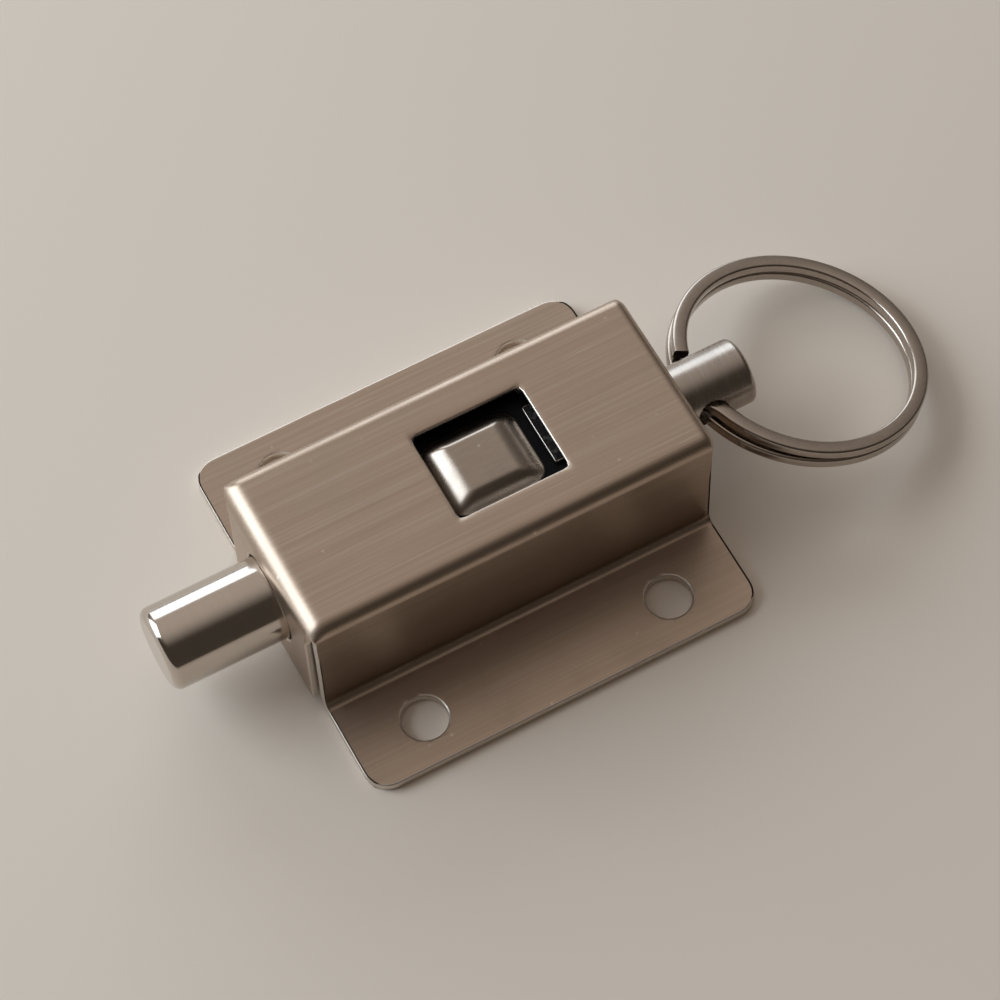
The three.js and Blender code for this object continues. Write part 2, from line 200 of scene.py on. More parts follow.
# %% [markdown]
# ## Steel
# Every piece is stainless steel, and what differs is how it was worked. Rolled sheet is brushed along
# its length, the bolt is turned and polished, the rod is left satin, and the ring is bright wire. One
# function makes them all: a grain of fine lines that runs along or round the piece, soft blotches where
# hands and dirt have been, a few scratches across the grain, and tiny bright pits. The grain only moves
# the roughness and a very shallow bump, because that is what brushing does to metal.

# %% The steel function
SOILED = (0.16, 0.12, 0.09)
BARE_METAL = (0.95, 0.92, 0.88)
# The near black below is painted shade, for the catch plate that lies in shade under the housing's top.
PAINTED_SHADE_BLACK = (0.012, 0.012, 0.013)
BLACK_FADE = 0.16
RELIEF_DEPTH = 0.02


def steel(name, colour, rough, grain_scale, grain=0.5, bump=0.5, blotch=0.12, scratches=0.5, specks=0.4,
          dark=SOILED, shade_black_below=None):
    """A worked steel surface. grain_scale is how fast the grain changes along x, y and z, per metre."""
    material = bpy.data.materials.new(name)
    material.use_nodes = True
    material.node_tree.nodes.clear()
    t = Tree(material.node_tree)
    place = t.node("ShaderNodeTexCoord", output="Object")

    def noise(scale, detail=2.0, roughness=0.55, turn=(0, 0, 0), at=(0, 0, 0)):
        moved = t.node("ShaderNodeMapping", None,
                       {"Vector": place, "Location": at, "Rotation": turn, "Scale": scale})
        return t.node("ShaderNodeTexNoise", None,
                      {"Vector": moved, "Scale": 1.0, "Detail": detail, "Roughness": roughness})

    def mix(share, first, second):
        first, second = [c if isinstance(c, Wire) else (*c, 1) for c in (first, second)]
        return t.node("ShaderNodeMix", {"data_type": "RGBA"}, {0: share, 6: first, 7: second}, output=2)

    broad_grain = noise(grain_scale, 3.0, 0.6)
    fine_grain = noise(tuple(2.7 * s for s in grain_scale), 1.0, at=(4, 4, 4))
    lines = (broad_grain - 0.5) * 0.65 + (fine_grain - 0.5) * 0.35
    cloud = noise((150, 150, 150), 3.0, 0.6).smooth(0.42, 0.75)
    broad = noise((40, 40, 40), 2.0, at=(3, 1, 2)).smooth(0.4, 0.7)
    soil = (cloud * 0.6 + broad * 0.4) * blotch
    cross = noise((60, 3600, 3600), 1.0, turn=(0.2, 0.3, 0.9)).smooth(0.69, 0.75)
    other = noise((50, 4200, 4200), 1.0, turn=(0.1, -0.4, -0.5), at=(1, 2, 3)).smooth(0.70, 0.76)
    patch = noise((90, 90, 90), 1.0, at=(7, 7, 7)).smooth(0.45, 0.62)
    scratch = (cross + other) * patch * scratches
    cells = t.node("ShaderNodeTexVoronoi", {"feature": "F1"}, {"Vector": place, "Scale": 520.0})
    rare = noise((330, 330, 330), 1.0, at=(5, 4, 3)).smooth(0.52, 0.72)
    pits = (1 - cells.smooth(0.03, 0.16)) * rare * specks

    base = mix(soil, colour, dark)
    lift = (lines * grain + scratch * 0.3 + pits * 0.7).clamp(0.0, 1.0)
    sink = (lines * grain * -1.0).clamp(0.0, 1.0)
    base = mix(sink, mix(lift, base, BARE_METAL), dark)
    roughness = rough + lines * grain * 0.3 + soil * 0.5 + scratch * 0.1
    # Below the given height the colour is painted black and made rougher: painted shade for a part that
    # lies in shade under the housing's top.
    if shade_black_below is not None:
        height = t.node("ShaderNodeSeparateXYZ", None, {"Vector": place}, output=2)
        unshaded = height.smooth(shade_black_below * MM, (shade_black_below + BLACK_FADE) * MM)
        base = mix(unshaded, PAINTED_SHADE_BLACK, base)
        roughness = roughness + (1 - unshaded) * 0.3
    relief = lines * bump - scratch * 0.5 - pits * 0.6
    normal = t.node("ShaderNodeBump", None,
                    {"Strength": 0.6, "Distance": RELIEF_DEPTH * MM, "Height": relief})
    shader = t.node("ShaderNodeBsdfPrincipled", None, {
        "Base Color": base, "Metallic": 1.0, "Roughness": roughness.clamp(0.04, 0.9), "Normal": normal})
    t.node("ShaderNodeOutputMaterial", None, {"Surface": shader})
    return material


print("steel function ready")

# %% [markdown]
# ## The finishes
# The sheet is the warmest, and its punched rims are brighter, partly because the punch has bared fresh
# metal and partly as a painted highlight along the rims.
# The catch is polished on the pad, and round the pad its plate is painted black by height, as painted shade
# for the part that lies in shade under the top.

# %% Mix the finishes
PAD_HEIGHT = 1.7
catch_low, catch_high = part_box("catch_button")
plate_top = catch_high.z / MM - PAD_HEIGHT
brushed_sheet = steel("brushed_sheet", (0.49, 0.385, 0.305), 0.37, (26, 2500, 2500), grain=0.55, bump=0.7,
                      specks=0.55)
# The rims are brighter partly as bare punched metal and partly as a painted highlight.
punched_edge_highlight = steel("punched_edge_highlight", (0.72, 0.65, 0.58), 0.40, (1900, 1900, 60), grain=0.4)
polished_bolt = steel("polished_bolt", (0.62, 0.56, 0.50), 0.12, (2400, 160, 160), grain=0.16, bump=0.12,
                      blotch=0.05, scratches=0.3, specks=0.15)
satin_rod = steel("satin_rod", (0.46, 0.41, 0.37), 0.27, (2600, 200, 200), grain=0.5, bump=0.5)
spring_steel = steel("spring_steel", (0.17, 0.16, 0.15), 0.32, (900, 900, 900), scratches=0.3)
# Near black as painted shade: the leaf lies in shade under the window's rear edge.
shade_black_strip = steel("shade_black_strip", (0.012, 0.012, 0.014), 0.6, (900, 900, 900), scratches=0.1, specks=0.1)
satin_catch = steel("satin_catch", (0.42, 0.36, 0.31), 0.24, (300, 2600, 2600), grain=0.35, blotch=0.3,
                    dark=(0.2, 0.17, 0.14), shade_black_below=plate_top + 0.03)
bright_ring = steel("bright_ring", (0.48, 0.42, 0.37), 0.19, (1000, 1000, 1800), grain=0.3, bump=0.3)
print("finishes:", len(bpy.data.materials))

# %% [markdown]
# ## Helpers for mesh work
# Sizes are thought of in millimetres from the middle of the housing, and turned into metres in the
# frame when a mesh is finished. `Skin` collects faces given by their corner points and joins corners
# that meet, so a folded sheet can be laid out region by region.

# %% Skin
class Skin:
    """Faces given by corner points in millimetres. Corners that meet are one vertex."""

    def __init__(self):
        self.mesh = bmesh.new()
        self.known = {}

    def corner(self, point):
        key = tuple(round(c, 4) for c in point)
        if key not in self.known:
            self.known[key] = self.mesh.verts.new(key)
        return self.known[key]

    def face(self, *points):
        corners = []
        for point in points:
            corner = self.corner(point)
            if corner not in corners:
                corners.append(corner)
        if len(corners) > 2 and not self.mesh.faces.get(corners):
            self.mesh.faces.new(corners)

    def object(self, name, material):
        bmesh.ops.recalc_face_normals(self.mesh, faces=self.mesh.faces[:])
        for vertex in self.mesh.verts:
            vertex.co = Vector((vertex.co.x * MM + house_middle_x, vertex.co.y * MM, vertex.co.z * MM))
        data = bpy.data.meshes.new(name)
        self.mesh.to_mesh(data)
        self.mesh.free()
        piece = bpy.data.objects.new(name, data)
        bpy.context.scene.collection.objects.link(piece)
        data.materials.append(material)
        return piece


print("skin helper ready")

# %% [markdown]
# ## Thickness, cuts and worn edges
# Solidify, Boolean and Bevel finish the bare skins. `bake` works them into a plain mesh at once, so the
# next step always sees the true shape. A bevel or a cut can leave corners that lie on top of each other,
# and those are joined, because a closed mesh with no slivers also shades and exports cleanly.

# %% Modifiers and bake
SLIVER = 0.002


def modifier(piece, kind, **settings):
    added = piece.modifiers.new(kind.lower(), kind)
    for key, value in settings.items():
        setattr(added, key, value)


def bake(piece):
    """The piece with its modifiers worked into its mesh."""
    graph = bpy.context.evaluated_depsgraph_get()
    graph.update()
    shaped = bpy.data.meshes.new_from_object(piece.evaluated_get(graph))
    piece.modifiers.clear()
    old = piece.data
    piece.data = shaped
    if old.users == 0 and isinstance(old, bpy.types.Mesh):
        bpy.data.meshes.remove(old)
    return piece


def merge_slivers(piece):
    """Joins corners that a bevel or a cut has left on top of each other."""
    shape = bmesh.new()
    shape.from_mesh(piece.data)
    bmesh.ops.remove_doubles(shape, verts=shape.verts[:], dist=SLIVER * MM)
    bmesh.ops.dissolve_degenerate(shape, edges=shape.edges[:], dist=SLIVER * MM)
    shape.to_mesh(piece.data)
    shape.free()


def report(piece):
    """Prints how many faces a piece has, and how many edges are open, which should be none."""
    shape = bmesh.new()
    shape.from_mesh(piece.data)
    open_edges = sum(not line.is_manifold for line in shape.edges)
    shape.free()
    print(piece.name, "faces:", len(piece.data.polygons), "open edges:", open_edges)


print("bake helper ready")

# %% Soften the edges
SMOOTH_ANGLE = math.radians(50)


def mark_edges(piece, limit, where):
    """Marks the sharp edges whose two ends both pass the test "where", for the bevel to take up."""
    shape = bmesh.new()
    shape.from_mesh(piece.data)
    weight = shape.edges.layers.float.new("bevel_weight_edge")
    for line in shape.edges:
        sharp = line.calc_face_angle(0) > math.radians(limit)
        if sharp and all(where(end.co / MM) for end in line.verts):
            line[weight] = 1
    shape.to_mesh(piece.data)
    shape.free()


def soften(piece, width=0.12, segments=2, limit=38, edge_material=-1, where=None):
    """Breaks the sharp edges, as tumbling does, and shades the rest smoothly."""
    if where:
        mark_edges(piece, limit, where)
    modifier(piece, "BEVEL", width=width * MM, segments=segments,
             limit_method="WEIGHT" if where else "ANGLE", angle_limit=math.radians(limit),
             use_clamp_overlap=not where, material=edge_material)
    bake(piece)
    merge_slivers(piece)
    piece.data.shade_smooth()
    piece.data.set_sharp_from_angle(angle=SMOOTH_ANGLE)
    modifier(piece, "WEIGHTED_NORMAL", keep_sharp=True, weight=80)
    return bake(piece)


def chain(start, *steps):
    """Positions from start, through each (stop, pieces) in turn."""
    places = [start]
    for stop, pieces in steps:
        places += list(np.linspace(places[-1], stop, pieces + 1)[1:])
    return places


print("edge helper ready")

# %% [markdown]
# ## The housing
# The housing is one blank of stainless sheet. A press has punched the window and the holes and then
# folded the blank: down for the side walls, out for the two flanges, and down again for the end tabs
# between the walls. It could be joined from boxes and cut with booleans, but then every bend would need
# mending. It is laid out here as the blank is, on a grid whose lines follow the bends and the punched
# holes, and folded by a formula. Solidify then gives the sheet its thickness and Bevel its worn edges.

# %% Sizes of the sheet
SHEET = 1.2
BOX_WIDTH = 22.5
TOP_BEND = 1.7
FRONT_BEND = 2.5
REAR_BEND = 1.5
FLANGE_BEND = 1.0
FLANGE_CORNER = 3.0
TAB_PROUD = 0.7
FIT = 0.3

box_half = (house_high.x - house_low.x) / MM / 2
edge = house_high.y / MM
top = house_high.z / MM
wall_half = box_half - TAB_PROUD
half_width = BOX_WIDTH / 2
front_start = box_half - FRONT_BEND
rear_start = box_half - REAR_BEND
tab_half = half_width - TOP_BEND
bolt_low, bolt_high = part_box("bolt")
rod_low, rod_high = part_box("pull_rod")
axis = (bolt_low.z + bolt_high.z) / MM / 2
bolt_radius = (bolt_high.z - bolt_low.z) / MM / 2
rod_radius = (rod_high.y - rod_low.y) / MM / 2
print("housing half length", round(box_half, 2), "top", round(top, 2), "bolt axis", round(axis, 2))

# %% Draw the section across the latch
QUARTER_TURN = math.pi / 2
WINDOW_HALF = 5.8
WINDOW_CORNER = 0.45
DIE_ROLL_REACH = 0.7
TAB_SQUARE = 6.1
SCREW_FROM_EDGE = 5.7
SCREW_CLEAR = 3.6
screw_y = edge - SCREW_FROM_EDGE


def section_points():
    """The outside of the section across the latch, as (y, z, zone), from the middle to one edge."""
    top_lines = chain(0, (WINDOW_HALF - WINDOW_CORNER, 7), (WINDOW_HALF, 1), (TAB_SQUARE, 1),
                      (WINDOW_HALF + DIE_ROLL_REACH, 1), (tab_half, 4))
    points = [(y, top, "top") for y in top_lines]
    for angle in chain(0, (QUARTER_TURN, 12))[1:]:
        y = tab_half + TOP_BEND * math.sin(angle)
        points.append((y, top - TOP_BEND * (1 - math.cos(angle)), "bend"))
    foot = SHEET + FLANGE_BEND
    points += [(half_width, z, "wall") for z in chain(top - TOP_BEND, (foot, 8))[1:]]
    for angle in chain(0, (QUARTER_TURN, 8))[1:]:
        y = half_width + FLANGE_BEND * (1 - math.cos(angle))
        points.append((y, foot - FLANGE_BEND * math.sin(angle), "foot"))
    across = chain(half_width + FLANGE_BEND, (screw_y - SCREW_CLEAR, 2), (screw_y + SCREW_CLEAR, 12),
                   (edge, 4))
    points += [(y, SHEET, "flange") for y in across[1:]]
    return points


section = section_points()
print("section points from the middle to one edge:", len(section))

# %% Rule the lines along the latch
LIP_ANGLE = math.radians(78)
LIP_ROWS = 9
SCREW_X = 15.7
WINDOW_FRONT = -4.15
WINDOW_REAR = 9.55
BESIDE_WINDOW = 0.2


def lip_sine(row):
    return math.sin(LIP_ANGLE * row / LIP_ROWS)


def length_lines():
    """Grid lines along the latch."""
    front, rear = [[start + (wall_half - start) * lip_sine(row) / lip_sine(LIP_ROWS)
                    for row in range(1, LIP_ROWS + 1)] for start in (front_start, rear_start)]
    middle = chain(-front_start, (-SCREW_X - SCREW_CLEAR, 5), (-SCREW_X + SCREW_CLEAR, 12),
                   (WINDOW_FRONT - DIE_ROLL_REACH, 5), (WINDOW_FRONT - BESIDE_WINDOW, 2), (WINDOW_FRONT, 1),
                   (WINDOW_FRONT + WINDOW_CORNER, 1), (WINDOW_REAR - WINDOW_CORNER, 10), (WINDOW_REAR, 1),
                   (WINDOW_REAR + BESIDE_WINDOW, 1), (WINDOW_REAR + DIE_ROLL_REACH, 2),
                   (SCREW_X - SCREW_CLEAR, 2), (SCREW_X + SCREW_CLEAR, 12), (rear_start, 5))
    return [-x for x in reversed(front)] + middle + rear


grid_xs = length_lines()
print("lines along the latch:", len(grid_xs))

# %% Round the flange corners and draw the sheet down at the window
DIE_ROLL = 0.16


def round_corner(x, y):
    """Moves a point of a flange's square corner on to its rounded corner."""
    a = (abs(x) - (wall_half - FLANGE_CORNER)) / FLANGE_CORNER
    b = (abs(y) - (edge - FLANGE_CORNER)) / FLANGE_CORNER
    if a <= 0 or b <= 0:
        return x, y
    new_a = a * math.sqrt(1 - b * b / 2)
    new_b = b * math.sqrt(1 - a * a / 2)
    return (math.copysign(wall_half - FLANGE_CORNER + new_a * FLANGE_CORNER, x),
            math.copysign(edge - FLANGE_CORNER + new_b * FLANGE_CORNER, y))


def window_sink(x, y):
    """How far the punch has drawn the sheet down beside the window."""
    outside_x = max(WINDOW_FRONT - x, x - WINDOW_REAR, 0)
    outside_y = max(abs(y) - WINDOW_HALF, 0)
    away = math.hypot(outside_x, outside_y)
    return DIE_ROLL * max(0, 1 - away / DIE_ROLL_REACH) ** 2


print("a flange corner moves to", [round(c, 2) for c in round_corner(wall_half, edge)])

# %% Punch a round hole in the grid
RING_SHARES = (0, 0.45, 0.8, 1)
HAIR = 1e-6


def between(value, low, high):
    return low - HAIR <= value <= high + HAIR


def punched_square(skin, place, a_lines, b_lines, centre, radius):
    """A square of the grid with a round hole in it: rings of faces from the square to the hole."""
    border = [(a, b_lines[0]) for a in a_lines[:-1]] + [(a_lines[-1], b) for b in b_lines[:-1]]
    border += [(a, b_lines[-1]) for a in a_lines[:0:-1]] + [(a_lines[0], b) for b in b_lines[:0:-1]]
    rings = []
    for share in RING_SHARES:
        ring = []
        for a, b in border:
            off_a, off_b = a - centre[0], b - centre[1]
            pull = (radius / math.hypot(off_a, off_b) - 1) * share
            ring.append(place(a + off_a * pull, b + off_b * pull))
        rings.append(ring)
    count = len(border)
    for outer, inner in zip(rings, rings[1:]):
        for k in range(count):
            skin.face(outer[k], outer[(k + 1) % count], inner[(k + 1) % count], inner[k])


print("punch helper ready")

# %% Fold one side
SCREW_RADIUS = 2.7


def is_open(zone, x0, x1, y0, y1):
    """True for a square of the grid that fold_side leaves out: window, lips and screw squares."""
    if zone in ("top", "bend") and (x0 < -front_start - HAIR or x1 > rear_start + HAIR):
        return True
    if zone == "top":
        return between(x0, WINDOW_FRONT, WINDOW_REAR - 0.01) and y1 <= WINDOW_HALF + HAIR
    off_screw_x = abs(abs((x0 + x1) / 2) - SCREW_X)
    off_screw_y = abs((y0 + y1) / 2 - screw_y)
    return zone == "flange" and off_screw_x < SCREW_CLEAR and off_screw_y < SCREW_CLEAR


def fill_window_corners(skin, side):
    """Fans of faces that round the two corners of the window on one side."""
    for corner_x, inward in ((WINDOW_FRONT, 1), (WINDOW_REAR, -1)):
        corner = (corner_x, side * WINDOW_HALF, top - DIE_ROLL)
        arc = []
        for angle in chain(0, (QUARTER_TURN, 4)):
            x = corner_x + inward * WINDOW_CORNER * (1 - math.sin(angle))
            y = WINDOW_HALF - WINDOW_CORNER * (1 - math.cos(angle))
            arc.append((x, side * y, top - DIE_ROLL))
        for a, b in zip(arc, arc[1:]):
            skin.face(corner, a, b)


def fold_side(skin, side):
    """One half of the box and its flange, from the middle line out."""
    def spot(x, j):
        y, z, zone = section[j]
        if zone == "top":
            z -= window_sink(x, y)
        if zone == "flange":
            x, y = round_corner(x, y)
        return (x, side * y, z)

    for j in range(len(section) - 1):
        zone = section[j + 1][2]
        y0, y1 = section[j][0], section[j + 1][0]
        for x0, x1 in zip(grid_xs, grid_xs[1:]):
            if not is_open(zone, x0, x1, y0, y1):
                skin.face(spot(x0, j), spot(x1, j), spot(x1, j + 1), spot(x0, j + 1))
    fill_window_corners(skin, side)
    ys = [y for y, z, zone in section
          if zone == "flange" and between(y, screw_y - SCREW_CLEAR, screw_y + SCREW_CLEAR)]
    for centre_x in (-SCREW_X, SCREW_X):
        xs = [x for x in grid_xs if between(x, centre_x - SCREW_CLEAR, centre_x + SCREW_CLEAR)]
        punched_square(skin, lambda a, b: (a, side * b, SHEET), xs, ys, (centre_x, screw_y), SCREW_RADIUS)


print("side helper ready")

# %% Fold one end
# The lip over an end is a bend as wide as the top. At its two sides the bend turns into the side walls'
# own bends, so its drop is eased away there, and an open slit is left between the tab and each wall.
TAB_FOOT_GAP = 0.8


def hang_tab(skin, end, bend, hole_radius):
    """The flat tab below a lip, with the round hole for the bolt or the rod."""
    top_ys = [y for y, z, zone in section if zone == "top"]
    ys = sorted({round(y, 6) for y in top_ys} | {round(-y, 6) for y in top_ys})
    zs = chain(top - bend, (axis + TAB_SQUARE, 1), (axis - TAB_SQUARE, 16), (TAB_FOOT_GAP, 3))
    x = end * box_half
    for z0, z1 in zip(zs, zs[1:]):
        for y0, y1 in zip(ys, ys[1:]):
            if abs((y0 + y1) / 2) < TAB_SQUARE and abs((z0 + z1) / 2 - axis) < TAB_SQUARE:
                continue
            skin.face((x, y0, z0), (x, y1, z0), (x, y1, z1), (x, y0, z1))
    hole_ys = [y for y in ys if between(y, -TAB_SQUARE, TAB_SQUARE)]
    hole_zs = sorted(z for z in zs if between(z, axis - TAB_SQUARE, axis + TAB_SQUARE))
    punched_square(skin, lambda a, b: (x, a, b), hole_ys, hole_zs, (0, axis), hole_radius)


def fold_end(skin, end, bend, hole_radius):
    """The full-width lip over one end and the tab that hangs from it."""
    bend_start = box_half - bend
    bend_j = [j for j, point in enumerate(section) if point[2] == "bend"]
    last_top = bend_j[0] - 1
    rows = [LIP_ANGLE * k / LIP_ROWS for k in range(LIP_ROWS + 1)] + [QUARTER_TURN]

    def spot(row, j, side):
        y, z, zone = section[j]
        angle = rows[row]
        x = bend_start + bend * math.sin(angle)
        drop = bend * (1 - math.cos(angle))
        if zone == "bend":
            share = (j - last_top) / (bend_j[-1] - last_top)
            ease = share * share * (3 - 2 * share)
            wall_x = bend_start + (wall_half - bend_start) * math.sin(angle) / lip_sine(LIP_ROWS)
            x += (wall_x - x) * ease
            drop *= 1 - ease
        return (end * x, side * y, z - drop)

    for side in (-1, 1):
        for row in range(len(rows) - 1):
            for j in range(bend_j[-1]):
                if j >= last_top and row >= LIP_ROWS:
                    continue
                skin.face(spot(row, j, side), spot(row + 1, j, side), spot(row + 1, j + 1, side),
                          spot(row, j + 1, side))
    hang_tab(skin, end, bend, hole_radius)


print("end helper ready")

# %% Make the housing
# A bevel as wide as the real rim would tear the mesh in the corner slits, where many short edges meet.
# So the slits keep sharp rims, and the bevel takes up the edges below them and those of the window.
SLIT_DEPTH = 4
RIM_ROUND = 0.22
WINDOW_MARGIN = 0.5


def local_x(x):
    """A frame x in millimetres from the middle of the housing."""
    return (x - house_middle_x) / MM


def on_punched_rim(spot):
    """True on the rims of the flanges, walls, tabs, holes and window, but not in the corner slits."""
    along = WINDOW_FRONT - WINDOW_MARGIN < local_x(spot.x * MM) < WINDOW_REAR + WINDOW_MARGIN
    across = abs(spot.y) < WINDOW_HALF + WINDOW_MARGIN
    return spot.z < top - SLIT_DEPTH or (along and across and spot.z > top - 2 * SHEET)


def make_housing():
    skin = Skin()
    for side in (-1, 1):
        fold_side(skin, side)
    fold_end(skin, -1, FRONT_BEND, bolt_radius + FIT)
    fold_end(skin, 1, REAR_BEND, rod_radius + FIT)
    piece = skin.object("housing_shell", brushed_sheet)
    up = sum(p.normal.z * p.area for p in piece.data.polygons if abs(p.normal.z) > 0.9)
    if up < 0:
        piece.data.flip_normals()
    piece.data.materials.append(punched_edge_highlight)
    modifier(piece, "SOLIDIFY", thickness=SHEET * MM, offset=-1, use_even_offset=True,
             material_offset_rim=1)
    bake(piece)
    return soften(piece, RIM_ROUND, 3, edge_material=1, where=on_punched_rim)


housing_shell = make_housing()
report(housing_shell)

# %% [markdown]
# ## The bolt and the pull rod
# Both are round bars, so each is a profile turned about the bolt's centre line. The bolt's end is
# rounded so that it finds its hole. It has two grooves inside the housing, one for the stop clip and one
# for the catch, and a socket in its tail that the rod's spigot is pressed into. The rod is drilled across
# for the ring, and that hole is a boolean cut because it crosses the round side.

# %% Turn a profile
TURN_STEPS = 96


def turn_profile(points):
    """A skin of revolution from (x, radius) points, about the bolt's centre line."""
    skin = Skin()
    for (x0, r0), (x1, r1) in zip(points, points[1:]):
        for k in range(TURN_STEPS):
            a0 = 2 * math.pi * k / TURN_STEPS
            a1 = 2 * math.pi * ((k + 1) % TURN_STEPS) / TURN_STEPS
            skin.face((x0, r0 * math.cos(a0), axis + r0 * math.sin(a0)),
                      (x1, r1 * math.cos(a0), axis + r1 * math.sin(a0)),
                      (x1, r1 * math.cos(a1), axis + r1 * math.sin(a1)),
                      (x0, r0 * math.cos(a1), axis + r0 * math.sin(a1)))
    return skin


def rounded_end(x_end, radius, rounding, inward):
    """(x, radius) points from the middle of an end face, round its rim, to the side."""
    points = [(x_end, r) for r in (0, 0.35 * radius, 0.7 * radius)]
    for angle in chain(0, (QUARTER_TURN, 8)):
        points.append((x_end + inward * rounding * (1 - math.cos(angle)),
                       radius - rounding + rounding * math.sin(angle)))
    return points


print("turning helper ready")

# %% Turn the bolt
BOLT_TIP_ROUND = 1.1
SPIGOT_RADIUS = 2.5
SPIGOT_LENGTH = 8.0
GROOVE_DEPTH = 1.1
CATCH_SHEET = 0.7
clip_low, clip_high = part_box("stop_clip")
bolt_tip = local_x(bolt_low.x)
bolt_tail = local_x(bolt_high.x)
clip_front = local_x(clip_low.x)
clip_rear = local_x(clip_high.x)
gate_front = local_x(catch_low.x)
slide_joint = next(j for j in frame["joints"] if j["name"] == "bolt_slide")
stroke = slide_joint["range_m"][1] / MM


def make_bolt():
    bottom = bolt_radius - GROOVE_DEPTH
    points = rounded_end(bolt_tip, bolt_radius, BOLT_TIP_ROUND, 1)
    clip_groove = (clip_front - FIT, clip_rear + FIT)
    catch_groove = (gate_front - stroke - FIT, gate_front + CATCH_SHEET - stroke + FIT)
    for x0, x1 in (clip_groove, catch_groove):
        points += [(x0, bolt_radius), (x0, bottom), (x1, bottom), (x1, bolt_radius)]
    socket = SPIGOT_RADIUS + FIT
    deep = bolt_tail - SPIGOT_LENGTH - FIT
    points += [(bolt_tail, bolt_radius), (bolt_tail, socket), (deep, socket), (deep, 0)]
    piece = turn_profile(points).object("bolt_bar", polished_bolt)
    return soften(piece, 0.12, 2, 50)


bolt_bar = make_bolt()
report(bolt_bar)

# %% Turn the rod and drill it for the ring
ROD_END_ROUND = 0.7
HOLE_RADIUS = 2.1
rod_front = local_x(rod_low.x)
rod_end = local_x(rod_high.x)
ring_joint = next(j for j in frame["joints"] if j["name"] == "ring_swing")
hole_place = Vector(ring_joint["pos_m"])
hole_way = Vector(ring_joint["axis"])


def make_rod():
    shoulder = bolt_tail + FIT
    end = rounded_end(rod_end, rod_radius, ROD_END_ROUND, -1)
    points = [(rod_front, 0), (rod_front, SPIGOT_RADIUS), (shoulder, SPIGOT_RADIUS), (shoulder, rod_radius)]
    points += list(reversed(end))
    piece = turn_profile(points).object("rod", satin_rod)
    drill = bmesh.new()
    bmesh.ops.create_cone(drill, cap_ends=True, segments=64, depth=3 * rod_radius * MM,
                          radius1=HOLE_RADIUS * MM, radius2=HOLE_RADIUS * MM)
    turn = Vector((0, 0, 1)).rotation_difference(hole_way).to_matrix().to_4x4()
    bmesh.ops.transform(drill, matrix=Matrix.Translation(hole_place) @ turn, verts=drill.verts)
    data = bpy.data.meshes.new("drill")
    drill.to_mesh(data)
    drill.free()
    cutter = bpy.data.objects.new("drill", data)
    bpy.context.scene.collection.objects.link(cutter)
    modifier(piece, "BOOLEAN", operation="DIFFERENCE", object=cutter, solver="EXACT")
    bake(piece)
    bpy.data.objects.remove(cutter)
    return soften(piece, 0.16, 3, 48)


rod = make_rod()
report(rod)

# %% [markdown]
# ## The stop clip
# An open clip sits in the bolt's front groove, behind the front tab, and keeps the spring from pushing
# the bolt out. It is a flat piece with one outline, so the outline is drawn, filled and thickened.

# %% Draw the clip
CLIP_MOUTH = 0.7
CLIP_STEPS = 72


def make_clip():
    inner = bolt_radius - GROOVE_DEPTH + FIT
    outer = clip_high.z / MM - axis
    half_angle = math.asin(CLIP_MOUTH * bolt_radius / outer)
    skin = Skin()
    start = half_angle - QUARTER_TURN
    sweep = 2 * (math.pi - half_angle)
    for k in range(CLIP_STEPS):
        corners = []
        for radius, step in ((inner, k), (outer, k), (outer, k + 1), (inner, k + 1)):
            angle = start + sweep * step / CLIP_STEPS
            corners.append((clip_front, radius * math.cos(angle), axis + radius * math.sin(angle)))
        skin.face(*corners)
    piece = skin.object("clip", spring_steel)
    if piece.data.polygons[0].normal.x > 0:
        piece.data.flip_normals()
    modifier(piece, "SOLIDIFY", thickness=(clip_rear - clip_front) * MM, offset=-1)
    bake(piece)
    return soften(piece, 0.1, 2)


clip = make_clip()
report(clip)

# %% [markdown]
# ## The catch
# The catch is pressed from thin sheet. Its pad is domed so that a thumb finds it, and its front edge is
# folded down into a gate that the bolt passes through. The dome is a height field: each point of the
# plate is raised by a rounded shoulder that depends on how far it lies inside the pad's outline. The
# gate's opening is a boolean cut, because its sides run straight up and its foot is round.

# %% Raise the pad
PAD_FRONT = -4.2
PAD_REAR = 7.7
PAD_HALF = 5.2
PAD_SLOPE_ALONG = 3.2
PAD_SLOPE_ACROSS = 2.2
PAD_CORNER_POWER = 2.6
PAD_CURVE = 1.4
PAD_CROWN = 0.15


def pad_height(x, y):
    """Height of the pad above its plate: slopes along and across the latch, joined in rounded corners."""
    along = min(x - PAD_FRONT, PAD_REAR - x) / PAD_SLOPE_ALONG
    across = (PAD_HALF - abs(y)) / PAD_SLOPE_ACROSS
    below = [1 - min(max(share, 0), 1) for share in (along, across)]
    foot = (below[0] ** PAD_CORNER_POWER + below[1] ** PAD_CORNER_POWER) ** (1 / PAD_CORNER_POWER)
    share = max(0, 1 - foot)
    dome = 1 - (1 - share) ** PAD_CURVE
    middle = (PAD_FRONT + PAD_REAR) / 2
    crown = max(0, 1 - ((x - middle) / (PAD_REAR - middle)) ** 2) * max(0, 1 - (y / PAD_HALF) ** 2)
    return (PAD_HEIGHT - PAD_CROWN) * dome + PAD_CROWN * crown * share


print("pad rises by", round(pad_height((PAD_FRONT + PAD_REAR) / 2, 0), 2), "mm in its middle")

# %% Cut the gate's opening
GATE_BEND = 0.8
gate_radius = bolt_radius + FIT
bend_end = gate_front + GATE_BEND


